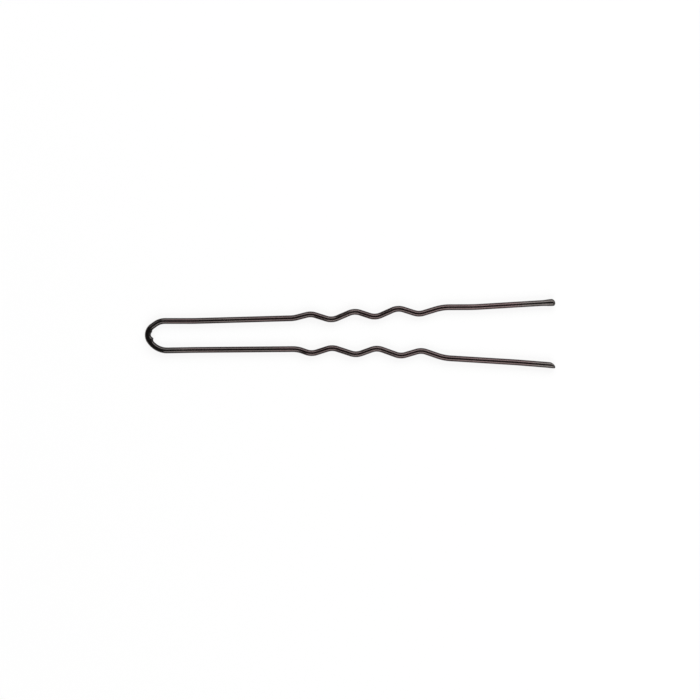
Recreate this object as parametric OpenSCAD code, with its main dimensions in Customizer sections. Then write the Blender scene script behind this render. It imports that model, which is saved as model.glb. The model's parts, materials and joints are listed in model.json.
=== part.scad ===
// Waved hair pin: one steel wire bent into a long U, crimped three times on each leg and dipped in lacquer.
// The pin lies flat. +X runs from the crown to the tips, +Y to the upper leg and +Z up from the table.
// The wire flexes along its whole length, and here all of that flexing is put at one place on each leg.

/* [Wire] */
// Diameter of the bare steel wire
wire_d = 1; // [0.8:0.05:1.3]
// Thickness of the lacquer on the wire
lacquer_t = 0.05; // [0.03:0.01:0.1]

/* [Whole pin] */
// Length from the outside of the crown to the ends of the tips
pin_l = 75; // [68:0.5:85]
// Distance from the outside of the crown to the place where each leg flexes
flex_x = 9; // [7:0.5:14]
// Clearance around a leg's round end in its cup on the crown
flex_gap = 0.05; // [0.02:0.01:0.1]

/* [Crown] */
// Radius of the nose of the crown, at the middle of the wire
nose_r = 1.95; // [1.5:0.05:2]
// Height of the nose's centre above the middle line
nose_y = 0.1; // [-0.2:0.05:0.2]
// Slope of the flank above the nose, in degrees
upper_flank = 36; // [32:1:48]
// Slope of the flank below the nose, in degrees
lower_flank = 53; // [45:1:56]
// Radius of the shoulder bend above, at the middle of the wire
upper_shoulder_r = 3; // [2:0.1:3.5]
// Radius of the shoulder bend below, at the middle of the wire
lower_shoulder_r = 3.8; // [2.5:0.1:3.9]
// How much the wire below closes in from the shoulder to its flex place, in degrees
lower_closing = 1; // [0:0.1:2]
// Radius of the two lacquer ridges that the dipping hook leaves inside the nose
hook_ridge_r = 0.3; // [0.2:0.05:0.4]
// How far the ridges stand out of the lacquer
hook_ridge_h = 0.15; // [0.08:0.01:0.2]
// Angle from the middle of the nose to each ridge, in degrees
hook_ridge_angle = 32; // [25:1:40]

/* [Bends] */
// Radius of the bend where the shank turns out to the first crimp
rise_bend_r = 5; // [3:0.5:6]
// Radius of the crimp bends
crimp_bend_r = 2.9; // [1.5:0.1:3.2]
// Radius of the bend where the last crimp runs out into the leg's end
out_bend_r = 9; // [4:0.5:12]
// Radius of the last, faint bend before the tip
toe_bend_r = 40; // [20:5:60]
// Distance along the leg from each crest to the valley after it
fall_run = 3.75; // [3.5:0.05:4.2]

/* [Upper leg] */
// Distance of the upper flex place from the middle line
upper_flex_y = 2.65; // [2.5:0.05:3.2]
// Distance from the outside of the crown to the end of the straight shank
upper_shank_end = 27.2; // [25:0.1:29]
// Slope of the shank away from the middle line, in degrees
upper_splay = 1.6; // [1:0.1:3]
// Length of the rise to the first crest
upper_rise_l = 3.25; // [2.6:0.05:4]
// Slope of the rise, in degrees
upper_rise = 14.5; // [12:0.5:20]
// Distance from one crest to the next
upper_pitch = 7.95; // [7.6:0.05:8.4]
// Slope of the line through the crests, in degrees
upper_tilt = 4; // [3:0.1:5]
// Depth of the first crimp
upper_depth_1 = 1.48; // [1.2:0.02:1.7]
// Depth of the middle crimp
upper_depth_2 = 1.54; // [1.2:0.02:1.7]
// Depth of the last crimp
upper_depth_3 = 1.5; // [1.2:0.02:1.7]
// Length of the run out of the last valley
upper_out_l = 4.5; // [3.8:0.05:5]
// Slope of the run out, in degrees
upper_out = 17; // [13:0.5:20]
// Share of the rest of the leg that the level run after it takes
upper_mid_share = 0.28; // [0.2:0.01:0.5]
// Slope of the level run, in degrees
upper_mid = 0.2; // [0:0.1:2]
// Slope of the toe, in degrees
upper_toe = 3.4; // [2.5:0.1:5]
// How much fatter the lacquer bead on the tip is than the wire, on the radius
upper_bead_swell = 0.11; // [0.02:0.01:0.2]
// Length of the bead
upper_bead_l = 2.6; // [1.6:0.1:3]

/* [Lower leg] */
// Distance of the lower flex place from the middle line
lower_flex_y = 2.64; // [2.5:0.02:3.2]
// Distance from the outside of the crown to the end of the straight shank
lower_shank_end = 27.9; // [25.5:0.1:29]
// Slope of the shank away from the middle line, in degrees
lower_splay = -0.5; // [-0.7:0.1:1]
// Length of the rise to the first crest
lower_rise_l = 2.7; // [2.3:0.05:3.5]
// Slope of the rise, in degrees
lower_rise = 19.5; // [16:0.5:22]
// Distance from one crest to the next
lower_pitch = 8.15; // [7.8:0.05:8.6]
// Slope of the line through the crests, in degrees
lower_tilt = 1.5; // [1:0.1:3]
// Depth of the first crimp
lower_depth_1 = 1.32; // [1:0.02:1.6]
// Depth of the middle crimp
lower_depth_2 = 1.46; // [1:0.02:1.6]
// Depth of the last crimp
lower_depth_3 = 1.22; // [1:0.02:1.6]
// Length of the run out of the last valley
lower_out_l = 4.35; // [3.8:0.05:5]
// Slope of the run out, in degrees
lower_out = 19; // [15:0.5:22]
// Share of the rest of the leg that the easy run after it takes
lower_mid_share = 0.65; // [0.4:0.01:0.75]
// Slope of the easy run, in degrees
lower_mid = 3.5; // [2.5:0.1:4]
// Slope of the toe, in degrees
lower_toe = 4.6; // [4:0.1:6]
// How much fatter the lacquer bead on the tip is than the wire, on the radius
lower_bead_swell = 0.04; // [0.02:0.01:0.2]
// Length of the bead
lower_bead_l = 2; // [1.6:0.1:3]

/* [Tips] */
// Length of the rounded end of each bead
dome_l = 0.55; // [0.45:0.05:0.7]
// Lacquer between the cut end of the wire and the end of the bead
tip_cover = 0.4; // [0.35:0.05:0.5]

/* [Hidden] */
$fn = 48;
core_r = wire_d / 2;
coat_r = core_r + lacquer_t;
// Each straight run is this much slimmer than the bends, and reaches this far into them, so that they join into one solid
run_step = 0.003;
run_seat = 0.04;
// The most of a run that the bends at its ends take up
bend_share = 0.96;
// How far the crown's core passes the cup that is cut from it
cup_overrun = 0.1;
// Number of steps in the slope of a bead and in its dome
bead_steps = 8;

// A step of a given length at a given slope
function step_at(length, slope) = [length * cos(slope), length * sin(slope)];

// The wire's route is a list of moves, each [length between corners, slope, radius of the bend before it]
function corner(moves, start, i) =
    i == 0 ? start : corner(moves, start, i - 1) + step_at(moves[i - 1][0], moves[i - 1][1]);
function turn(moves, i) = i == 0 || i == len(moves) ? 0 : moves[i][1] - moves[i - 1][1];
function wanted_cut(moves, i) = turn(moves, i) == 0 ? 0 : moves[i][2] * tan(abs(turn(moves, i)) / 2);
// Where two bends would meet on a run, both are limited by the length of that run
function run_limit(moves, i) = bend_share * moves[i][0] / (wanted_cut(moves, i) + wanted_cut(moves, i + 1));
function cut_back(moves, i) = turn(moves, i) == 0 ? 0 :
    wanted_cut(moves, i) * min(1, run_limit(moves, i - 1), run_limit(moves, i));
function bend_radius(moves, i) = cut_back(moves, i) / tan(abs(turn(moves, i)) / 2);
function reach(moves) = corner(moves, [0, 0], len(moves))[0];

// Three crimps: down to a valley and up to the next crest, without the climb after the last valley
function crimps(pitch, tilt, depths) = [
    for (i = [0 : len(depths) - 1])
        for (run = i < len(depths) - 1 ? [[fall_run, -depths[i]], [pitch - fall_run, depths[i]]] : [[fall_run, -depths[i]]])
            [norm(run), tilt + atan2(run[1], run[0]), crimp_bend_r]
];

// The last two moves are the middle run and the toe, which share the length that is left to the end of the pin
function with_end(moves, mid_share, mid, toe) =
    let(rest = pin_l - flex_x - reach(moves))
    concat(moves, [
        [mid_share * rest / cos(mid), mid, out_bend_r],
        [(1 - mid_share) * rest / cos(toe), toe, toe_bend_r]
    ]);

upper_moves = with_end(concat(
    [[(upper_shank_end - flex_x) / cos(upper_splay), upper_splay, 0], [upper_rise_l, upper_rise, rise_bend_r]],
    crimps(upper_pitch, upper_tilt, [upper_depth_1, upper_depth_2, upper_depth_3]),
    [[upper_out_l, upper_out, crimp_bend_r]]), upper_mid_share, upper_mid, upper_toe);
lower_moves = with_end(concat(
    [[(lower_shank_end - flex_x) / cos(lower_splay), lower_splay, 0], [lower_rise_l, lower_rise, rise_bend_r]],
    crimps(lower_pitch, lower_tilt, [lower_depth_1, lower_depth_2, lower_depth_3]),
    [[lower_out_l, lower_out, crimp_bend_r]]), lower_mid_share, lower_mid, lower_toe);
upper_start = [flex_x, upper_flex_y];
lower_start = [flex_x, lower_flex_y];

// The crown's flanks touch the nose circle, and each meets the straight wire of its own side at a shoulder
nose_centre = [coat_r + nose_r, nose_y];
function flank_point(slope, side) = nose_centre + nose_r * [-sin(slope), side * cos(slope)];
function meet(p, slope_p, q, slope_q) =
    let(x = (q[1] - p[1] + p[0] * tan(slope_p) - q[0] * tan(slope_q)) / (tan(slope_p) - tan(slope_q)))
    [x, p[1] + (x - p[0]) * tan(slope_p)];
upper_flank_point = flank_point(upper_flank, 1);
lower_flank_point = flank_point(lower_flank, -1);
crown_end = [flex_x, -lower_flex_y];
upper_shoulder = meet(upper_start, 0, upper_flank_point, upper_flank);
nose_corner = meet(upper_flank_point, upper_flank, lower_flank_point, -lower_flank);
lower_shoulder = meet(crown_end, lower_closing, lower_flank_point, -lower_flank);
crown_moves = [
    [norm(upper_shoulder - upper_start), 180, 0],
    [norm(nose_corner - upper_shoulder), 180 + upper_flank, upper_shoulder_r],
    [norm(lower_shoulder - nose_corner), 360 - lower_flank, nose_r],
    [norm(crown_end - lower_shoulder), 360 + lower_closing, lower_shoulder_r]
];

// The origin is under the middle of the pin, on the table that its fattest bead rests on
upper_tip_y = corner(upper_moves, upper_start, len(upper_moves))[1] + coat_r + upper_bead_swell;
lower_tip_y = corner(lower_moves, lower_start, len(lower_moves))[1] + coat_r + lower_bead_swell;
origin_y = (upper_tip_y - lower_tip_y) / 2;
rest_z = coat_r + max(upper_bead_swell, lower_bead_swell);

module in_place() {
    translate([-pin_l / 2, -origin_y, rest_z]) children();
}

// Lays what stands along +Z down along a slope at a point
module laid_at(p, slope) {
    translate(p) rotate([0, 0, slope]) rotate([0, 90, 0]) rotate(180) children();
}

module bend_at(p, slope, angle, bend_r, radius) {
    side = sign(angle);
    translate(p) rotate([0, 0, slope]) translate([0, side * bend_r])
        rotate([0, 0, side > 0 ? -90 : 90 + angle])
            rotate_extrude(angle = abs(angle)) translate([bend_r, 0]) rotate(90) circle(r = radius);
}

// Wire of one radius along a list of moves, with a given length left off its end or added there
module wire(moves, start, radius, end_trim = 0, start_trim = 0) {
    last = len(moves) - 1;
    for (i = [0 : last]) {
        slope = moves[i][1];
        before = i == 0 ? -start_trim : run_seat - cut_back(moves, i);
        after = i == last ? -end_trim : run_seat - cut_back(moves, i + 1);
        p = corner(moves, start, i) - step_at(before, slope);
        laid_at(p, slope) cylinder(h = moves[i][0] + before + after, r = radius - run_step);
        if (turn(moves, i) != 0) {
            slope_before = moves[i - 1][1];
            q = corner(moves, start, i) - step_at(cut_back(moves, i), slope_before);
            bend_at(q, slope_before, turn(moves, i), bend_radius(moves, i), radius);
        }
    }
}

// The wire of a leg, with a round end at its flex place
module leg_wire(moves, start, radius, end_trim) {
    wire(moves, start, radius, end_trim);
    laid_at(start, moves[0][1]) sphere(r = radius);
}

module leg_core(moves, start) {
    leg_wire(moves, start, core_r, tip_cover);
}

module leg_coat(moves, start, bead_l) {
    difference() {
        leg_wire(moves, start, coat_r, bead_l);
        leg_core(moves, start);
    }
}

// A bead swells from the lacquer's own radius and closes in a dome over the cut end of the wire
module tip_bead(moves, start, bead_l, swell) {
    slope_l = bead_l - dome_l;
    bead_r = coat_r + swell;
    slope_points = [for (i = [0 : bead_steps]) let(t = i / bead_steps) [coat_r + swell * t * t * (3 - 2 * t), t * slope_l]];
    dome_points = [for (i = [1 : bead_steps]) let(a = 90 * i / bead_steps) [bead_r * cos(a), slope_l + dome_l * sin(a)]];
    bore_points = [[0, bead_l - tip_cover], [core_r - run_step, bead_l - tip_cover], [core_r - run_step, 0]];
    toe = moves[len(moves) - 1];
    laid_at(corner(moves, start, len(moves)) - step_at(bead_l, toe[1]), toe[1])
        rotate_extrude() polygon(concat(slope_points, dome_points, bore_points));
}

module crown_wire(radius) {
    wire(crown_moves, upper_start, radius, -cup_overrun, -cup_overrun);
}

module flex_cups() {
    for (p = [upper_start, crown_end]) translate(p) sphere(r = coat_r + flex_gap);
}

module crown_core() {
    color("silver") in_place() difference() {
        crown_wire(core_r);
        flex_cups();
    }
}

module crown_coat() {
    color([0.17, 0.12, 0.12]) in_place() difference() {
        union() {
            wire(crown_moves, upper_start, coat_r);
            for (side = [-1, 1]) translate(nose_centre) rotate([0, 0, 180 + side * hook_ridge_angle])
                translate([nose_r - coat_r + hook_ridge_r - hook_ridge_h, 0]) sphere(r = hook_ridge_r);
        }
        crown_wire(core_r);
        flex_cups();
    }
}

module upper_leg_core() {
    color("silver") in_place() leg_core(upper_moves, upper_start);
}

module lower_leg_core() {
    color("silver") in_place() mirror([0, 1, 0]) leg_core(lower_moves, lower_start);
}

module upper_leg_coat() {
    color([0.17, 0.12, 0.12]) in_place() leg_coat(upper_moves, upper_start, upper_bead_l);
}

module lower_leg_coat() {
    color([0.17, 0.12, 0.12]) in_place() mirror([0, 1, 0]) leg_coat(lower_moves, lower_start, lower_bead_l);
}

module upper_tip_bead() {
    color([0.13, 0.1, 0.1]) in_place() tip_bead(upper_moves, upper_start, upper_bead_l, upper_bead_swell);
}

module lower_tip_bead() {
    color([0.13, 0.1, 0.1]) in_place() mirror([0, 1, 0])
        tip_bead(lower_moves, lower_start, lower_bead_l, lower_bead_swell);
}

crown_core();
upper_leg_core();
lower_leg_core();
crown_coat();
upper_leg_coat();
lower_leg_coat();
upper_tip_bead();
lower_tip_bead();
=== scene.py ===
"""Waved hair pin, lying on a white table and seen from straight above.

The wire's route is worked out from a few lengths and slopes, as it is bent on a bench. Each piece of steel or
lacquer is a ring outline swept along that route. The frame gives the pin's length and its two flex places.
"""

import json

import bmesh
import bpy
from bpy.props import FloatProperty, FloatVectorProperty, IntProperty, PointerProperty
from bpy.types import Operator, Panel, PropertyGroup
from math import atan2, cos, hypot, pi, radians, sin, tan
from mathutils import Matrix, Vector


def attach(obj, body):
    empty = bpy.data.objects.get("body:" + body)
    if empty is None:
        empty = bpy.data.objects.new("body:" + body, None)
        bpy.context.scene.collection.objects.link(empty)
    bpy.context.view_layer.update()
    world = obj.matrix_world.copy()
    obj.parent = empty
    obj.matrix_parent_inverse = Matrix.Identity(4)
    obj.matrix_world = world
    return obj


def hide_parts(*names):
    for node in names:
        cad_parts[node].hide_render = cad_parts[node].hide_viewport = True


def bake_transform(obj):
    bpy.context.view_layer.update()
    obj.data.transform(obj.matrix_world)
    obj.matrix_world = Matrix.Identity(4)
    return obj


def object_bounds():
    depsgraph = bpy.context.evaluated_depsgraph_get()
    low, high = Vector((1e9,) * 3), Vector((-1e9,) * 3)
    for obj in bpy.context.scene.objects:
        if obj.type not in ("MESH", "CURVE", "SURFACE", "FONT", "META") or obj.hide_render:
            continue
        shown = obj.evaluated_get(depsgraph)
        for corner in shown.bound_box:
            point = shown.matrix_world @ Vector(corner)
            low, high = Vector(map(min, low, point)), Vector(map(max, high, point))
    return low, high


bl_info = {
    "name": "Waved Hair Pin",
    "version": (1, 0, 0),
    "blender": (4, 5, 0),
    "location": "3D View > Sidebar > Hair Pin",
    "description": "Bends, coats and lights a lacquered hair pin",
    "category": "Add Mesh",
}

MM = 0.001
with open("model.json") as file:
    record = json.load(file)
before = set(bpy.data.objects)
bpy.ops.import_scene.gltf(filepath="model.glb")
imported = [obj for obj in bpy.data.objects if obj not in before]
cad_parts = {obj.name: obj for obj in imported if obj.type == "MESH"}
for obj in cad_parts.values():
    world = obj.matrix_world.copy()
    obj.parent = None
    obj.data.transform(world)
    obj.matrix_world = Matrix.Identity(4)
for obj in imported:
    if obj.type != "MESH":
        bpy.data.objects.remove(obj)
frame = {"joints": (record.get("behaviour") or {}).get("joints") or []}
LOW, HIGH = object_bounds()
FLEX = {joint["child"]: Vector(joint["pos_m"]) for joint in frame["joints"]}
PHOTO_PIXELS = 700
WELD = 0.0005 * MM  # points nearer to each other than this are one point
FILM_METAL = 0.8  # share of the lacquer's shine that comes from the bright wire under it, and is tinted brown


def linear(hex_colour):
    """The linear colour of an sRGB hex colour."""
    channels = [int(hex_colour[i : i + 2], 16) / 255 for i in (1, 3, 5)]
    return tuple(c / 12.92 if c <= 0.04045 else ((c + 0.055) / 1.055) ** 2.4 for c in channels)


def length(name, description, millimetres):
    """A size property, given in millimetres and kept in metres."""
    return FloatProperty(
        name=name, description=description, default=millimetres * MM, precision=5, unit="LENGTH", subtype="DISTANCE"
    )


def lengths(name, description, millimetres):
    """Three size properties in one."""
    return FloatVectorProperty(
        name=name, description=description, default=[value * MM for value in millimetres], size=3, precision=5,
        unit="LENGTH", subtype="XYZ_LENGTH",
    )


def fraction(name, description, value):
    """A property for a part of a whole."""
    return FloatProperty(name=name, description=description, default=value, min=0, max=1)


def slope(name, description, degrees):
    """An angle property, given in degrees and kept in radians."""
    return FloatProperty(name=name, description=description, default=radians(degrees), unit="ROTATION", subtype="ANGLE")


def colour(name, description, hex_colour):
    """A colour property."""
    return FloatVectorProperty(
        name=name, description=description, default=linear(hex_colour), min=0, max=1, subtype="COLOR"
    )


class HairPinWire(PropertyGroup):
    """The wire and its lacquer."""

    wire_d: length("Wire", "Diameter of the bare steel wire", 1.0)
    lacquer_t: length("Lacquer", "Thickness of the lacquer on the wire", 0.05)
    rise_bend_r: length("Rise bend", "Radius of the bend from the shank to the first crimp", 5)
    crimp_bend_r: length("Crimp bend", "Radius of the crimp bends", 2.9)
    out_bend_r: length("Run-out bend", "Radius of the bend after the last crimp", 9)
    toe_bend_r: length("Toe bend", "Radius of the faint bend before the tip", 40)
    flex_bend_r: length("Flex bend", "Radius of the faint bend at each flex place", 60)
    fall_run: length("Fall", "Distance along the leg from each crest to the valley after it", 3.75)
    flex_l: length("Flex length", "Length of wire over which each leg bends as it flexes", 6.8)


class HairPinCrown(PropertyGroup):
    """The bend that joins the two legs."""

    nose_r: length("Nose", "Radius of the nose, at the middle of the wire", 1.95)
    nose_drop: length("Nose drop", "Distance from the upper flex place down to the nose's centre", 2.55)
    upper_flank: slope("Upper flank", "Slope of the flank above the nose", 36)
    lower_flank: slope("Lower flank", "Slope of the flank below the nose", 53)
    upper_shoulder_r: length("Upper shoulder", "Radius of the shoulder bend above", 3)
    lower_shoulder_r: length("Lower shoulder", "Radius of the shoulder bend below", 3.8)
    lower_closing: slope("Closing", "How much the wire below closes in towards its flex place", 1)
    upper_mark_h: length("Upper mark", "Height of the upper hook mark, on the inside of the nose", 0.12)
    upper_mark_s: length("Upper mark place", "Distance of the upper mark's top from the middle of the nose", -0.62)
    upper_mark_w: length("Upper mark width", "Width of the upper mark's gentle side", 0.4)
    lower_mark_h: length("Lower mark", "Height of the lower hook mark, on the inside of the nose", 0.31)
    lower_mark_s: length("Lower mark place", "Distance of the lower mark's top from the middle of the nose", 1.38)
    lower_mark_w: length("Lower mark width", "Width of the lower mark's gentle side", 0.62)


class HairPinUpperLeg(PropertyGroup):
    """The upper leg, with slopes that count away from the pin's middle line."""

    shank_l: length("Shank", "Distance from the flex place to the end of the shank", 18.2)
    splay: slope("Splay", "Slope of the shank", 1.6)
    rise_l: length("Rise length", "Length of the rise to the first crest", 3.25)
    rise: slope("Rise", "Slope of the rise", 14.5)
    pitch: length("Pitch", "Distance from one crest to the next", 7.95)
    tilt: slope("Tilt", "Slope of the line through the crests", 4)
    depths: lengths("Depths", "Depths of the three crimps", (1.48, 1.54, 1.5))
    out_l: length("Run-out length", "Length of the run out of the last valley", 4.5)
    out: slope("Run-out", "Slope of the run out", 17)
    mid_share: fraction("Middle share", "Share of the rest that the middle run takes", 0.28)
    mid: slope("Middle", "Slope of the middle run", 0.2)
    toe: slope("Toe", "Slope of the toe", 3.4)
    bead_swell: length("Bead swell", "How much fatter the bead is than the coated wire, on the radius", 0.108)
    bead_l: length("Bead length", "Length of the bead", 2.6)


class HairPinLowerLeg(PropertyGroup):
    """The lower leg, with slopes that count away from the pin's middle line."""

    shank_l: length("Shank", "Distance from the flex place to the end of the shank", 18.9)
    splay: slope("Splay", "Slope of the shank", -0.5)
    rise_l: length("Rise length", "Length of the rise to the first crest", 2.7)
    rise: slope("Rise", "Slope of the rise", 19.5)
    pitch: length("Pitch", "Distance from one crest to the next", 8.15)
    tilt: slope("Tilt", "Slope of the line through the crests", 1.5)
    depths: lengths("Depths", "Depths of the three crimps", (1.32, 1.46, 1.22))
    out_l: length("Run-out length", "Length of the run out of the last valley", 4.35)
    out: slope("Run-out", "Slope of the run out", 19)
    mid_share: fraction("Middle share", "Share of the rest that the middle run takes", 0.65)
    mid: slope("Middle", "Slope of the middle run", 3.5)
    toe: slope("Toe", "Slope of the toe", 4.6)
    bead_swell: length("Bead swell", "How much fatter the bead is than the coated wire, on the radius", 0.038)
    bead_l: length("Bead length", "Length of the bead", 2)


class HairPinTips(PropertyGroup):
    """The sheared ends of the wire, and the lacquer that gathers on them."""

    dome_l: length("Dome", "Length of the rounded end of each bead", 0.55)
    tip_cover: length("Cover", "Lacquer between the cut end of the wire and the end of the bead", 0.4)
    upper_slant: length("Upper slant", "How far the shear draws back the side of the upper tip", 0.11)
    lower_slant: length("Lower slant", "How far the shear draws back the side of the lower tip", 0.4)
    slant_l: length("Slant length", "Length of tip over which the slant fades out", 1.95)
    inset: length("Inset", "How far the tips stay inside the pin's measured length", 0.003)


class HairPinFinish(PropertyGroup):
    """Colours of the finishes, and how finely the shapes are cut."""

    leg_brown: colour("Leg lacquer", "Colour of the lacquer on the legs", "#362c2c")
    patch_grey: colour("Patches", "Colour of the greyer patches of lacquer on the legs", "#393634")
    # Painted light: the lacquer is painted lighter towards the tips, for the stronger light that falls on that end of
    # the pin
    tip_brown: colour("Tip painted light", "Colour of the lacquer painted lighter towards the tips", "#423636")
    crown_black: colour("Crown lacquer", "Colour of the thicker lacquer round the crown", "#302d2c")
    bead_black: colour("Bead lacquer", "Colour of the lacquer gathered on the tips", "#433f3d")
    bend_brown: colour("Stretched lacquer", "Colour of the lacquer stretched on the outside of a bend", "#463b38")
    steel: colour("Steel", "Colour of the bare spring steel", "#c4c2be")
    floor: colour("Table", "Colour of the table top", "#fdfdfd")
    sides: IntProperty(name="Sides", description="Points round the wire", default=48, min=8)
    bend_steps: IntProperty(name="Bend steps", description="Points along each bend", default=32, min=4)
    ring_step: length("Ring step", "Distance between the rings along the wire", 0.16)


class Route:
    """The bent wire's centre line, from the upper tip round the crown to the lower tip, with a bend at each corner."""

    def __init__(self, scene):
        self.corners = []
        self.radii = []
        wire, crown = scene.hair_pin_wire, scene.hair_pin_crown
        end_x = HIGH.x - scene.hair_pin_tips.inset
        upper = self.leg(scene.hair_pin_upper_leg, wire, FLEX["upper_leg"], 1, end_x)
        lower = self.leg(scene.hair_pin_lower_leg, wire, FLEX["lower_leg"], -1, end_x)
        for place, radius in [*reversed(upper), *self.nose(crown, wire), *lower]:
            self.corners.append(place)
            self.radii.append(radius)
        self.measure()
        self.upper_flex = self.stations[len(upper) - 1]
        self.nose_middle = self.stations[len(upper) + 1]
        self.lower_flex = self.stations[len(self.corners) - len(lower)]

    def leg(self, leg, wire, start, side, end_x):
        """The corners of one leg from its flex place to its tip, each with its bend's radius."""
        moves = [[leg.shank_l / cos(leg.splay), leg.splay, wire.flex_bend_r], [leg.rise_l, leg.rise, wire.rise_bend_r]]
        for i, depth in enumerate(leg.depths):
            moves.append([hypot(wire.fall_run, depth), leg.tilt - atan2(depth, wire.fall_run), wire.crimp_bend_r])
            if i < len(leg.depths) - 1:
                climb = leg.pitch - wire.fall_run
                moves.append([hypot(climb, depth), leg.tilt + atan2(depth, climb), wire.crimp_bend_r])
        moves.append([leg.out_l, leg.out, wire.crimp_bend_r])
        rest = end_x - start.x - sum(run * cos(angle) for run, angle, _ in moves)
        moves.append([leg.mid_share * rest / cos(leg.mid), leg.mid, wire.out_bend_r])
        moves.append([(1 - leg.mid_share) * rest / cos(leg.toe), leg.toe, wire.toe_bend_r])
        place, corners = start.copy(), []
        for run, angle, radius in moves:
            corners.append((place.copy(), radius))
            place += Vector((run * cos(angle), side * run * sin(angle), 0))
        return [*corners, (place, 0)]

    def nose(self, crown, wire):
        """The crown's three corners. Its flanks touch the nose's circle and meet the straight wire at the shoulders."""
        upper, lower = FLEX["upper_leg"], FLEX["lower_leg"]
        centre = Vector((LOW.x + core_and_coat(wire)[1] + crown.nose_r, upper.y - crown.nose_drop, upper.z))
        above = centre + crown.nose_r * Vector((-sin(crown.upper_flank), cos(crown.upper_flank), 0))
        below = centre + crown.nose_r * Vector((-sin(crown.lower_flank), -cos(crown.lower_flank), 0))
        return [
            (meet(upper, 0, above, crown.upper_flank), crown.upper_shoulder_r),
            (meet(above, crown.upper_flank, below, -crown.lower_flank), crown.nose_r),
            (meet(lower, crown.lower_closing, below, -crown.lower_flank), crown.lower_shoulder_r),
        ]

    def measure(self):
        """Works out the distance along the wire from the upper tip to the middle of each bend."""
        self.stations = [0]
        travelled, last_cut = 0, 0
        for i in range(1, len(self.corners)):
            run = (self.corners[i] - self.corners[i - 1]).length
            turn = self.turn(i)
            cut = self.radii[i] * tan(turn / 2)
            travelled += run - last_cut - cut
            self.stations.append(travelled + self.radii[i] * turn / 2)
            travelled += self.radii[i] * turn
            last_cut = cut

    def turn(self, i):
        """The angle that the wire turns through at a corner."""
        if i == len(self.corners) - 1:
            return 0
        return (self.corners[i] - self.corners[i - 1]).angle(self.corners[i + 1] - self.corners[i])

    @property
    def end(self):
        """The distance along the wire to the lower tip."""
        return self.stations[-1]

    def stretches(self, wire, first, last):
        """The body, start and end of the three stretches between two places. The legs' stretches reach half a flex
        length on to the crown's side of their flex places."""
        upper, lower = self.upper_flex + wire.flex_l / 2, self.lower_flex - wire.flex_l / 2
        return ("upper_leg", first, upper), ("crown", upper, lower), ("lower_leg", lower, last)

    def helper(self):
        """A mesh of the route's corners and bend radii, for the sweep to read."""
        mesh = bpy.data.meshes.new("route")
        mesh.from_pydata(self.corners, [(i, i + 1) for i in range(len(self.corners) - 1)], [])
        bends = mesh.attributes.new("bend_radius", "FLOAT", "POINT")
        bends.data.foreach_set("value", self.radii)
        helper = bpy.data.objects.new("route", mesh)
        bpy.context.scene.collection.objects.link(helper)
        return helper


def core_and_coat(wire):
    """The radius of the bare wire, and that of the coated wire."""
    return wire.wire_d / 2, wire.wire_d / 2 + wire.lacquer_t


def meet(p, slope_p, q, slope_q):
    """Where a line through p at one slope meets a line through q at another."""
    x = (q.y - p.y + p.x * tan(slope_p) - q.x * tan(slope_q)) / (tan(slope_p) - tan(slope_q))
    return Vector((x, p.y + (x - p.x) * tan(slope_p), p.z))


def add(tree, kind, inputs=None, **settings):
    """Adds a node, makes its settings, and fills its inputs with values or links them to other nodes' outputs."""
    node = tree.nodes.new(kind)
    for name, value in settings.items():
        setattr(node, name, value)
    for key, value in (inputs or {}).items():
        if isinstance(value, bpy.types.NodeSocket):
            tree.links.new(value, node.inputs[key])
        else:
            node.inputs[key].default_value = value
    return node


def maths(tree, operation, *values):
    """The result of one step of arithmetic."""
    return add(tree, "ShaderNodeMath", dict(enumerate(values)), operation=operation).outputs[0]


def remap(tree, value, given, wanted, **settings):
    """Takes a value from one range to another, and keeps it inside that."""
    inputs = {"Value": value, "From Min": given[0], "From Max": given[1], "To Min": wanted[0], "To Max": wanted[1]}
    return add(tree, "ShaderNodeMapRange", inputs, **settings).outputs[0]


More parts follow.
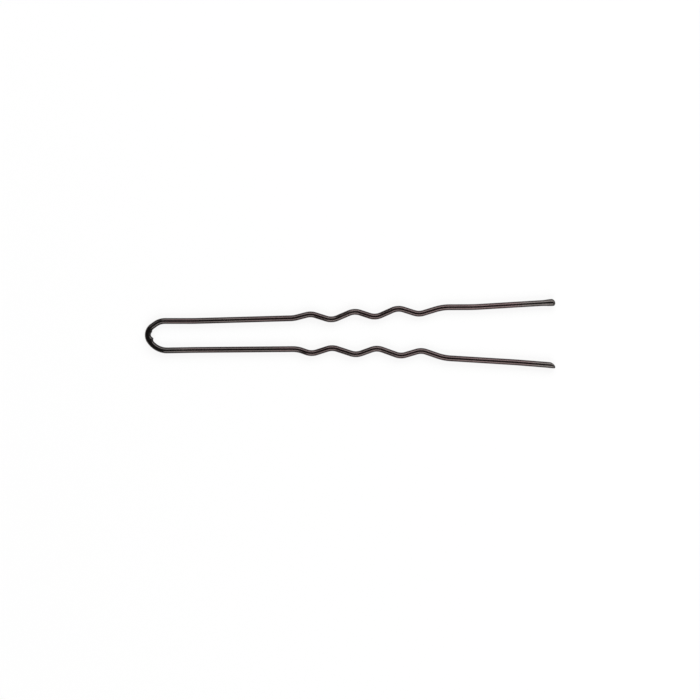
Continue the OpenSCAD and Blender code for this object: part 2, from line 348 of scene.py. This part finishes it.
def sweep_tree():
    """Geometry nodes that carry a ring outline along the wire.

    The piece's own mesh is the outline: each vertex gives a distance along the wire (X) and a distance from its
    centre line (Y). Two attributes are kept for the finishes to read: "straight", the place that a vertex would have
    if the wire were straight, and "squeeze", the strain that the bend gives the surface there.
    """
    tree = bpy.data.node_groups.new("Sweep along the wire", "GeometryNodeTree")
    for name, kind in (
        ("Outline", "Geometry"), ("Route", "Object"), ("Bend Steps", "Int"), ("Sides", "Int"),
        ("Upper Mark", "Vector"), ("Lower Mark", "Vector"), ("Material", "Material"),
    ):
        tree.interface.new_socket(name, in_out="INPUT", socket_type="NodeSocket" + kind)
    tree.interface.new_socket("Piece", in_out="OUTPUT", socket_type="NodeSocketGeometry")
    given = add(tree, "NodeGroupInput").outputs
    position = add(tree, "GeometryNodeInputPosition").outputs[0]

    # The wire's centre line
    seen = add(tree, "GeometryNodeObjectInfo", {"Object": given["Route"]})
    line = add(tree, "GeometryNodeMeshToCurve", {"Mesh": seen.outputs["Geometry"]})
    radius = add(tree, "GeometryNodeInputNamedAttribute", {"Name": "bend_radius"}, data_type="FLOAT")
    bent = add(
        tree, "GeometryNodeFilletCurve",
        {"Curve": line.outputs[0], "Count": given["Bend Steps"], "Radius": radius.outputs[0], "Limit Radius": True},
        mode="POLY",
    ).outputs[0]

    # One column of the grid for each vertex of the outline, and one row for each side of the wire
    size = add(tree, "GeometryNodeAttributeDomainSize", {"Geometry": given["Outline"]}, component="MESH")
    points = size.outputs["Point Count"]
    rows = maths(tree, "ADD", given["Sides"], 1.0)
    grid = add(
        tree, "GeometryNodeMeshGrid", {"Size X": 1.0, "Size Y": 1.0, "Vertices X": points, "Vertices Y": rows}
    )
    place = add(tree, "ShaderNodeSeparateXYZ", {0: position}).outputs
    across = maths(tree, "ADD", place["X"], 0.5)
    column = maths(tree, "MULTIPLY", across, maths(tree, "SUBTRACT", points, 1.0))
    vertex = add(
        tree, "GeometryNodeSampleIndex", {"Geometry": given["Outline"], "Value": position, "Index": column},
        data_type="FLOAT_VECTOR", domain="POINT", clamp=True,
    )
    ring = add(tree, "ShaderNodeSeparateXYZ", {0: vertex.outputs[0]})
    along, out = ring.outputs["X"], ring.outputs["Y"]
    angle = maths(tree, "MULTIPLY", place["Y"], 2 * pi)
    inward, upward = maths(tree, "COSINE", angle), maths(tree, "SINE", angle)

    # The centre line's place and direction, and how sharply it bends there
    here = add(tree, "GeometryNodeSampleCurve", {"Curves": bent, "Length": along}, mode="LENGTH")
    sideways = add(
        tree, "ShaderNodeVectorMath", {0: (0, 0, 1), 1: here.outputs["Tangent"]}, operation="CROSS_PRODUCT"
    ).outputs[0]
    reach = 0.3 * MM
    ends = []
    for step in (reach, -reach):
        near = maths(tree, "ADD", along, step)
        sample = add(tree, "GeometryNodeSampleCurve", {"Curves": bent, "Length": near}, mode="LENGTH")
        ends.append(sample.outputs["Tangent"])
    turn = add(tree, "ShaderNodeVectorMath", {0: ends[0], 1: ends[1]}, operation="SUBTRACT").outputs[0]
    bend = add(tree, "ShaderNodeVectorMath", {0: turn, 1: sideways}, operation="DOT_PRODUCT").outputs["Value"]
    per_metre = maths(tree, "DIVIDE", bend, 2 * reach)

    # The hook marks. Each is a height, a place along the wire and a width, on the inner side only, and its far side
    # from the other mark is twice as steep.
    inner = maths(tree, "POWER", maths(tree, "MAXIMUM", inward, 0.0), 1.5)
    raised = out
    for name, far in (("Upper Mark", -1.0), ("Lower Mark", 1.0)):
        mark = add(tree, "ShaderNodeSeparateXYZ", {0: given[name]}).outputs
        away = maths(tree, "MULTIPLY", maths(tree, "SUBTRACT", along, mark["Y"]), far)
        away = maths(tree, "ADD", away, maths(tree, "MAXIMUM", away, 0.0))
        share = maths(tree, "DIVIDE", away, mark["Z"])
        fall = maths(tree, "MULTIPLY", maths(tree, "MULTIPLY", share, share), -1.0)
        height = maths(tree, "MULTIPLY", maths(tree, "EXPONENT", fall), mark["X"])
        raised = maths(tree, "ADD", raised, maths(tree, "MULTIPLY", height, inner))

    # Each grid vertex goes to its ring
    arms = []
    for direction, share in ((sideways, inward), ((0, 0, 1), upward)):
        arm = maths(tree, "MULTIPLY", raised, share)
        arms.append(add(tree, "ShaderNodeVectorMath", {0: direction, "Scale": arm}, operation="SCALE").outputs[0])
    off = add(tree, "ShaderNodeVectorMath", {0: arms[0], 1: arms[1]}, operation="ADD").outputs[0]
    goal = add(tree, "ShaderNodeVectorMath", {0: here.outputs["Position"], 1: off}, operation="ADD").outputs[0]
    from_middle, height = maths(tree, "MULTIPLY", out, inward), maths(tree, "MULTIPLY", out, upward)
    straight = add(tree, "ShaderNodeCombineXYZ", {0: along, 1: from_middle, 2: height}).outputs[0]
    squeeze = maths(tree, "MULTIPLY", per_metre, from_middle)
    swept = grid.outputs["Mesh"]
    for name, kind, value in (
        ("straight", "FLOAT_VECTOR", straight), ("squeeze", "FLOAT", squeeze), ("goal", "FLOAT_VECTOR", goal),
    ):
        swept = add(
            tree, "GeometryNodeStoreNamedAttribute", {"Geometry": swept, "Name": name, "Value": value},
            data_type=kind, domain="POINT",
        ).outputs[0]
    stored = add(tree, "GeometryNodeInputNamedAttribute", {"Name": "goal"}, data_type="FLOAT_VECTOR")
    swept = add(tree, "GeometryNodeSetPosition", {"Geometry": swept, "Position": stored.outputs[0]}).outputs[0]
    swept = add(tree, "GeometryNodeRemoveAttribute", {"Geometry": swept, "Name": "goal"}).outputs[0]
    swept = add(tree, "GeometryNodeMergeByDistance", {"Geometry": swept, "Distance": WELD}).outputs[0]
    swept = add(tree, "GeometryNodeRealizeInstances", {"Geometry": swept}).outputs[0]
    swept = add(tree, "GeometryNodeSetMaterial", {"Geometry": swept, "Material": given["Material"]}).outputs[0]
    add(tree, "NodeGroupOutput", {"Piece": swept})
    return tree


def sweep(name, outline, material, upper_mark=(0, 0, 1), lower_mark=(0, 0, 1)):
    """Sweeps an outline of (distance along the wire, distance from its centre) round and along the wire."""
    finish = bpy.context.scene.hair_pin_finish
    tree = bpy.data.node_groups.get("Sweep along the wire") or sweep_tree()
    helper = Route(bpy.context.scene).helper()
    mesh = bpy.data.meshes.new(name)
    mesh.from_pydata([(s, r, 0) for s, r in outline], [(i, i + 1) for i in range(len(outline) - 1)], [])
    piece = bpy.data.objects.new(name, mesh)
    bpy.context.scene.collection.objects.link(piece)
    modifier = piece.modifiers.new("Sweep", "NODES")
    modifier.node_group = tree
    values = {
        "Route": helper, "Bend Steps": finish.bend_steps, "Sides": finish.sides,
        "Upper Mark": upper_mark, "Lower Mark": lower_mark, "Material": material,
    }
    for item in tree.interface.items_tree:
        if item.in_out == "INPUT" and item.name in values:
            modifier[item.identifier] = values[item.name]
    graph = bpy.context.evaluated_depsgraph_get()
    swept = bpy.data.meshes.new_from_object(piece.evaluated_get(graph), preserve_all_data_layers=True, depsgraph=graph)
    piece.modifiers.clear()
    piece.data = swept
    swept.name = name
    bpy.data.meshes.remove(mesh)
    bpy.data.objects.remove(helper)
    return piece


def close_up(piece):
    """Closes a swept piece's seams, points its faces outwards, and keeps its rims crisp."""
    crisp = radians(50)
    shape = bmesh.new()
    shape.from_mesh(piece.data)
    bmesh.ops.remove_doubles(shape, verts=shape.verts, dist=WELD)
    bmesh.ops.dissolve_degenerate(shape, dist=WELD / 5, edges=shape.edges)
    bmesh.ops.recalc_face_normals(shape, faces=shape.faces)
    for part in shape.faces:
        part.smooth = True
    for edge in shape.edges:
        edge.smooth = len(edge.link_faces) == 2 and edge.calc_face_angle(0) < crisp
    shape.to_mesh(piece.data)
    shape.free()


def rings(start, end):
    """Evenly spaced places along the wire, with both ends."""
    count = max(1, round((end - start) / bpy.context.scene.hair_pin_finish.ring_step))
    return [start + (end - start) * i / count for i in range(count + 1)]


def rod(start, end, radius):
    """The outline of a solid stretch of wire."""
    return [(start, 0), *((s, radius) for s in rings(start, end)), (end, 0)]


def tube(start, end, inside, outside):
    """The outline of a stretch of coat with the wire's bore in it. Its last point is its first one again."""
    return [
        *((s, outside) for s in rings(start, end)),
        *((s, inside) for s in reversed(rings(start, end))),
        (start, outside),
    ]


def smooth(t):
    """Goes from 0 to 1 as t does, and starts and ends gently."""
    return t * t * (3 - 2 * t)


def bead(leg, wire, tips):
    """The outline of a bead, from the tip inwards, with the blind bore that the wire's end sits in."""
    core, coat = core_and_coat(wire)
    steps = 14
    outline = []
    for i in range(steps + 1):
        angle = pi / 2 * i / steps
        outline.append((tips.dome_l * (1 - cos(angle)), (coat + leg.bead_swell) * sin(angle)))
    for s in rings(tips.dome_l, leg.bead_l)[1:]:
        left = 1 - (s - tips.dome_l) / (leg.bead_l - tips.dome_l)
        outline.append((s, coat + leg.bead_swell * smooth(left)))
    bore = [(s, core) for s in reversed(rings(tips.tip_cover, leg.bead_l))]
    return [*outline, *bore, (tips.tip_cover, 0)]


def shear(piece, context, body):
    """Slants the end of the wire, and the lacquer over it, as it was sheared from the coil.

    The upper side of the tip is drawn back along X, and the lower side keeps the pin's length. Both first move back
    a little, because a slanted dome reaches further out than a square one.
    """
    scene = context.scene
    tips, wire, route = scene.hair_pin_tips, scene.hair_pin_wire, Route(scene)
    if body == "upper_leg":
        leg, slant, tip, side = scene.hair_pin_upper_leg, tips.upper_slant, 0, 1
    else:
        leg, slant, tip, side = scene.hair_pin_lower_leg, tips.lower_slant, route.end, -1
    radius = core_and_coat(wire)[1] + leg.bead_swell
    dome = tips.dome_l * cos(leg.toe)
    back = hypot(dome, slant + side * radius * sin(leg.toe)) - dome
    for vertex, place in zip(piece.data.vertices, piece.data.attributes["straight"].data):
        from_tip = abs(place.vector.x - tip)
        fade = min(max((from_tip - tips.dome_l) / (tips.slant_l - tips.dome_l), 0), 1)
        up = -side * place.vector.y / radius
        vertex.co.x -= (1 - smooth(fade)) * (slant * up + back)


class HAIRPIN_OT_wire(Operator):
    """Bends the spring steel wire, in three stretches that meet where the legs flex"""

    bl_idname = "hairpin.wire"
    bl_label = "Bend Steel Wire"

    def execute(self, context):
        scene = context.scene
        wire, tips, route = scene.hair_pin_wire, scene.hair_pin_tips, Route(scene)
        steel = drawn_steel(scene.hair_pin_finish)
        # The steel is drawn 2 micrometres slim, so that its surface doesn't lie in the lacquer's bore
        radius = core_and_coat(wire)[0] - 0.002 * MM
        for body, start, end in route.stretches(wire, tips.tip_cover, route.end - tips.tip_cover):
            piece = sweep(body + "_wire", rod(start, end, radius), steel)
            if body != "crown":
                shear(piece, context, body)
            close_up(piece)
            join_body(piece, body, wire.flex_l / 2)
            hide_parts(body + "_core")
        return {"FINISHED"}


class HAIRPIN_OT_lacquer(Operator):
    """Coats the wire in lacquer, with the two marks of the hook that the pin hung from inside its nose"""

    bl_idname = "hairpin.lacquer"
    bl_label = "Coat with Lacquer"

    def execute(self, context):
        scene = context.scene
        wire, crown, route = scene.hair_pin_wire, scene.hair_pin_crown, Route(scene)
        lacquer = dipped_lacquer(scene.hair_pin_finish, route)
        upper_mark = (crown.upper_mark_h, route.nose_middle + crown.upper_mark_s, crown.upper_mark_w)
        lower_mark = (crown.lower_mark_h, route.nose_middle + crown.lower_mark_s, crown.lower_mark_w)
        first, last = scene.hair_pin_upper_leg.bead_l, route.end - scene.hair_pin_lower_leg.bead_l
        for body, start, end in route.stretches(wire, first, last):
            marks = (upper_mark, lower_mark) if body == "crown" else ()
            piece = sweep(body + "_lacquer", tube(start, end, *core_and_coat(wire)), lacquer, *marks)
            close_up(piece)
            join_body(piece, body, wire.flex_l / 2)
            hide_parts(body + "_coat")
        return {"FINISHED"}


class HAIRPIN_OT_tip_beads(Operator):
    """Gathers a bead of lacquer on each sheared tip"""

    bl_idname = "hairpin.tip_beads"
    bl_label = "Gather Tip Beads"

    def execute(self, context):
        scene = context.scene
        wire, tips, route = scene.hair_pin_wire, scene.hair_pin_tips, Route(scene)
        lacquer = gathered_lacquer(scene.hair_pin_finish)
        for body, leg in (("upper_leg", scene.hair_pin_upper_leg), ("lower_leg", scene.hair_pin_lower_leg)):
            outline = bead(leg, wire, tips)
            if body == "lower_leg":
                outline = [(route.end - s, r) for s, r in outline]
            tip = body.replace("leg", "tip")
            piece = sweep(tip + "_drop", outline, lacquer)
            shear(piece, context, body)
            close_up(piece)
            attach(piece, body)
            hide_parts(tip + "_bead")
        return {"FINISHED"}


def join_body(piece, body, half):
    """Puts the crown's stretch on its body. A leg's stretch is left without a body, with its transform baked into its
    mesh.
    """
    if body == "crown":
        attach(piece, body)
        return
    start, end = FLEX[body].copy(), FLEX[body].copy()
    start.x -= half
    end.x += half
    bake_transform(piece)


def empty_material(name):
    """A node material with nothing in its tree yet."""
    material = bpy.data.materials.new(name)
    material.use_nodes = True
    material.node_tree.nodes.clear()
    return material, material.node_tree


def new_material(name):
    """A node material with its shader and its output."""
    material, tree = empty_material(name)
    shader = add(tree, "ShaderNodeBsdfPrincipled")
    add(tree, "ShaderNodeOutputMaterial", {"Surface": shader.outputs[0]})
    return material, tree, shader


def noise(tree, place, size, detail, stretch=None):
    """Noise with grains of about one size, drawn out where a number of stretch is less than 1."""
    if stretch:
        place = add(tree, "ShaderNodeMapping", {"Vector": place, "Scale": stretch}).outputs[0]
    return add(tree, "ShaderNodeTexNoise", {"Vector": place, "Scale": 1 / size, "Detail": detail}).outputs["Fac"]


def mixed(tree, share, first, second):
    """Goes from the first colour to the second as the share goes from 0 to 1."""
    first, second = (c if isinstance(c, bpy.types.NodeSocket) else (*c, 1) for c in (first, second))
    return add(tree, "ShaderNodeMix", {"Factor": share, "A": first, "B": second}, data_type="RGBA").outputs["Result"]


def drawn_steel(finish):
    """Hard-drawn spring steel: grey and bright, with fine lines along it from the drawing die."""
    material, tree, shader = new_material("Drawn spring steel")
    straight = add(tree, "ShaderNodeAttribute", attribute_name="straight").outputs["Vector"]
    lines = noise(tree, straight, 0.05 * MM, 3.0, stretch=(0.02, 1, 1))
    gloss = remap(tree, lines, (0, 1), (0.24, 0.4))
    bump = add(tree, "ShaderNodeBump", {"Height": lines, "Distance": 0.001 * MM})
    shader.inputs["Base Color"].default_value = (*finish.steel, 1)
    shader.inputs["Metallic"].default_value = 1
    tree.links.new(gloss, shader.inputs["Roughness"])
    tree.links.new(bump.outputs[0], shader.inputs["Normal"])
    return material


def dipped_lacquer(finish, route):
    """Dipped dark brown lacquer: a smooth glossy film, thin enough for the bright wire under it to tint its
    reflections brown. It has a faint orange peel, prints the lines of the drawn wire, is black round the crown and
    thins to a warmer brown on the outsides of the crimps."""
    material, tree, shader = new_material("Dipped brown lacquer")
    straight = add(tree, "ShaderNodeAttribute", attribute_name="straight").outputs["Vector"]
    squeeze = add(tree, "ShaderNodeAttribute", attribute_name="squeeze").outputs["Fac"]

    # Brown along the legs, in greyer and browner patches about 6 mm long
    patches = noise(tree, straight, 1.8 * MM, 1.0, stretch=(0.3, 0.5, 0.5))
    base = mixed(tree, remap(tree, patches, (0.4, 0.56), (0.45, 1.0)), finish.patch_grey, finish.leg_brown)

    # Painted light: lighter towards the tips, for the stronger light that falls on that end of the pin. Black again
    # where the beads begin, and black round the crown, a little below its middle
    place = add(tree, "ShaderNodeSeparateXYZ", {0: straight})
    black_middle = route.nose_middle + 1.6 * MM
    away = maths(tree, "ABSOLUTE", maths(tree, "SUBTRACT", place.outputs["X"], black_middle))
    # The first row paints light: it lightens the lacquer towards the tips, for the stronger light at that end
    for begins, ends, towards in (
        (25, 70, finish.tip_brown), (70, 73.5, finish.bead_black), (7.2, 4.4, finish.crown_black),
    ):
        share = remap(tree, away, (begins * MM, ends * MM), (0, 1), interpolation_type="SMOOTHSTEP")
        base = mixed(tree, share, base, towards)

    # Slow changes of thickness along the wire
    cloud = noise(tree, straight, 1.6 * MM, 2.0, stretch=(0.35, 1, 1))
    shade = remap(tree, cloud, (0.3, 0.7), (0.85, 1.18))
    base = add(tree, "ShaderNodeVectorMath", {0: base, "Scale": shade}, operation="SCALE").outputs[0]

    # Thin film on the outside of each bend
    warm = mixed(tree, remap(tree, squeeze, (-0.05, -0.19), (0, 0.35)), base, finish.bend_brown)
    tree.links.new(warm, shader.inputs["Base Color"])

    # Orange peel about 0.5 mm across, and drawing lines that print through the film
    peel = noise(tree, straight, 0.5 * MM, 1.0)
    lines = noise(tree, straight, 0.12 * MM, 2.0, stretch=(0.04, 1, 1))
    soft = add(tree, "ShaderNodeBump", {"Height": peel, "Distance": 0.0015 * MM}).outputs[0]
    fine = add(tree, "ShaderNodeBump", {"Height": lines, "Distance": 0.0004 * MM, "Normal": soft})
    tree.links.new(remap(tree, cloud, (0.3, 0.7), (0.09, 0.15)), shader.inputs["Roughness"])
    tree.links.new(fine.outputs[0], shader.inputs["Normal"])
    shader.inputs["Metallic"].default_value = FILM_METAL
    return material


def gathered_lacquer(finish):
    """Lacquer gathered on the tips: thicker, blacker and glossier than on the wire, with soft sags where it set."""
    material, tree, shader = new_material("Gathered lacquer")
    straight = add(tree, "ShaderNodeAttribute", attribute_name="straight").outputs["Vector"]
    sag = noise(tree, straight, 0.9 * MM, 1.0)
    shade = remap(tree, sag, (0.3, 0.7), (0.85, 1.2))
    base = add(tree, "ShaderNodeVectorMath", {0: finish.bead_black, "Scale": shade}, operation="SCALE")
    bump = add(tree, "ShaderNodeBump", {"Height": sag, "Distance": 0.004 * MM})
    tree.links.new(base.outputs[0], shader.inputs["Base Color"])
    tree.links.new(remap(tree, sag, (0.3, 0.7), (0.09, 0.14)), shader.inputs["Roughness"])
    tree.links.new(bump.outputs[0], shader.inputs["Normal"])
    shader.inputs["Metallic"].default_value = FILM_METAL
    return material


class HAIRPIN_OT_stage(Operator):
    """Sets the white table, the dark canopy, the softboxes, the white cards and the camera"""

    bl_idname = "hairpin.stage"
    bl_label = "Set Stage"

    def execute(self, context):
        scene = context.scene
        white_table(scene)
        dark_canopy(scene)
        softboxes(scene)
        white_world(scene)
        camera_above(scene)
        scene.view_settings.view_transform = "Standard"
        return {"FINISHED"}


def seen_directly(tree):
    """1 for the rays that see the background itself: the camera's, and those that gloss or glass sends on."""
    rays = add(tree, "ShaderNodeLightPath").outputs
    seen = maths(tree, "MAXIMUM", rays["Is Camera Ray"], rays["Is Glossy Ray"])
    return maths(tree, "MAXIMUM", seen, rays["Is Transmission Ray"])


def white_table(scene):
    """Matt white table top. Most of what the camera sees of it is plain white, and the rest keeps the pin's shadow."""
    edge, white_share = 1.5, 0.87
    mesh = bpy.data.meshes.new("table_top")
    corners = [(-edge, -edge, 0), (edge, -edge, 0), (edge, edge, 0), (-edge, edge, 0)]
    mesh.from_pydata(corners, [], [(0, 1, 2, 3)])
    table = bpy.data.objects.new("table_top", mesh)
    scene.collection.objects.link(table)
    material, tree = empty_material("Matt white table top")
    matt = add(tree, "ShaderNodeBsdfDiffuse", {"Color": (*scene.hair_pin_finish.floor, 1)})
    white = add(tree, "ShaderNodeEmission", {"Color": (1, 1, 1, 1), "Strength": 1.0})
    share = maths(tree, "MULTIPLY", seen_directly(tree), white_share)
    surface = add(tree, "ShaderNodeMixShader", {0: share, 1: matt.outputs[0], 2: white.outputs[0]})
    add(tree, "ShaderNodeOutputMaterial", {"Surface": surface.outputs[0]})
    mesh.materials.append(material)


def dark_canopy(scene):
    """A charcoal cloth canopy over the table, which the camera looks through. It gives the lacquer its dark
    reflections, and a trace of light comes through the cloth."""
    radius, low_edge, glow = 1.2, radians(4), 0.02
    shape = bmesh.new()
    bmesh.ops.create_uvsphere(shape, u_segments=48, v_segments=32, radius=radius)
    below = [v for v in shape.verts if v.co.z < radius * sin(low_edge)]
    bmesh.ops.delete(shape, geom=below, context="VERTS")
    mesh = bpy.data.meshes.new("canopy")
    shape.to_mesh(mesh)
    shape.free()
    canopy = bpy.data.objects.new("canopy", mesh)
    scene.collection.objects.link(canopy)
    canopy.visible_camera = False
    canopy.visible_shadow = False
    material, _, cloth = new_material("Charcoal canopy cloth")
    cloth.inputs["Base Color"].default_value = (*linear("#2c2c2c"), 1)
    cloth.inputs["Roughness"].default_value = 0.9
    cloth.inputs["Emission Color"].default_value = (1, 1, 1, 1)
    cloth.inputs["Emission Strength"].default_value = glow
    mesh.materials.append(material)


def softboxes(scene):
    """Two long softboxes beside the pin, further to its tips than to its crown, and two dim white cards at its ends.
    The zenith between them stays dark, so each leg shows two bright stripes with a dark one between."""
    distance, near_zenith, far_zenith = 0.7, radians(35), radians(68)
    tilt = (near_zenith + far_zenith) / 2
    width = 2 * distance * tan((far_zenith - near_zenith) / 2)
    # Name, bearing turned left from +Y, left and right edges seen from the pin, and radiance
    for name, bearing, left, right, radiance in (
        ("softbox_above", 0, -0.195, 0.85, 4.7),
        ("softbox_below", 180, -0.4, 0.18, 4.7),
        ("card_at_crown", 42, -0.12, 0.12, 1.8),
        ("card_at_tips", -90, -0.3, 0.3, 0.6),
    ):
        turned = radians(bearing)
        out, along = Vector((-sin(turned), cos(turned), 0)), Vector((cos(turned), sin(turned), 0))
        towards = sin(tilt) * out + cos(tilt) * Vector((0, 0, 1))
        light = bpy.data.lights.new(name, "AREA")
        light.shape = "RECTANGLE"
        light.size, light.size_y = right - left, width
        light.energy = radiance * pi * light.size * light.size_y
        lamp = bpy.data.objects.new(name, light)
        lamp.location = distance * towards + (left + right) / 2 * along
        lamp.rotation_euler = towards.to_track_quat("Z", "Y").to_euler()
        scene.collection.objects.link(lamp)


def white_world(scene):
    """A white surround that is seen in full but gives only a little light."""
    given, seen = 0.15, 1.0
    world = bpy.data.worlds.new("White surround")
    world.use_nodes = True
    scene.world = world
    tree = world.node_tree
    tree.nodes.clear()
    strength = remap(tree, seen_directly(tree), (0, 1), (given, seen))
    surround = add(tree, "ShaderNodeBackground", {"Color": (1, 1, 1, 1), "Strength": strength})
    add(tree, "ShaderNodeOutputWorld", {"Surface": surround.outputs[0]})


def camera_above(scene):
    """Looks straight down, with the crown at the photograph's left."""
    crown_x, nose_y, pin_l = 144.8, 334.95, 410.6  # in the photograph's pixels
    pixel = (HIGH.x - LOW.x) / pin_l
    middle = Vector((
        LOW.x + (PHOTO_PIXELS / 2 - crown_x) * pixel,
        FLEX["upper_leg"].y - scene.hair_pin_crown.nose_drop + (nose_y - PHOTO_PIXELS / 2) * pixel,
        FLEX["upper_leg"].z,
    ))
    camera = bpy.data.cameras.new("camera")
    camera.lens, camera.sensor_width = 100, 36
    camera.clip_start = 0.01
    view = bpy.data.objects.new("camera", camera)
    view.location = middle + Vector((0, 0, PHOTO_PIXELS * pixel * camera.lens / camera.sensor_width))
    scene.collection.objects.link(view)
    scene.camera = view


class HAIRPIN_PT_panel(Panel):
    """Lists the pin's sizes and the steps that make it"""

    bl_label = "Hair Pin"
    bl_idname = "HAIRPIN_PT_panel"
    bl_space_type = "VIEW_3D"
    bl_region_type = "UI"
    bl_category = "Hair Pin"

    def draw(self, context):
        for group in GROUPS:
            box = self.layout.box()
            box.label(text=group.__doc__.split(",")[0].rstrip("."))
            values = getattr(context.scene, group_name(group))
            for name in group.__annotations__:
                box.prop(values, name)
        for operator in OPERATORS:
            self.layout.operator(operator.bl_idname)


GROUPS = (HairPinWire, HairPinCrown, HairPinUpperLeg, HairPinLowerLeg, HairPinTips, HairPinFinish)
OPERATORS = (HAIRPIN_OT_wire, HAIRPIN_OT_lacquer, HAIRPIN_OT_tip_beads, HAIRPIN_OT_stage)


def group_name(group):
    """The scene's property for a group of sizes, such as hair_pin_upper_leg."""
    words = "".join(" " + letter.lower() if letter.isupper() else letter for letter in group.__name__)
    return "_".join(words.split())


def register():
    for group in GROUPS:
        bpy.utils.register_class(group)
        setattr(bpy.types.Scene, group_name(group), PointerProperty(type=group))
    for kind in (*OPERATORS, HAIRPIN_PT_panel):
        bpy.utils.register_class(kind)


def unregister():
    for kind in (HAIRPIN_PT_panel, *reversed(OPERATORS)):
        bpy.utils.unregister_class(kind)
    for group in reversed(GROUPS):
        delattr(bpy.types.Scene, group_name(group))
        bpy.utils.unregister_class(group)


def main():
    register()
    bpy.ops.hairpin.wire()
    bpy.ops.hairpin.lacquer()
    bpy.ops.hairpin.tip_beads()
    bpy.ops.hairpin.stage()


if __name__ == "__main__":
    main()
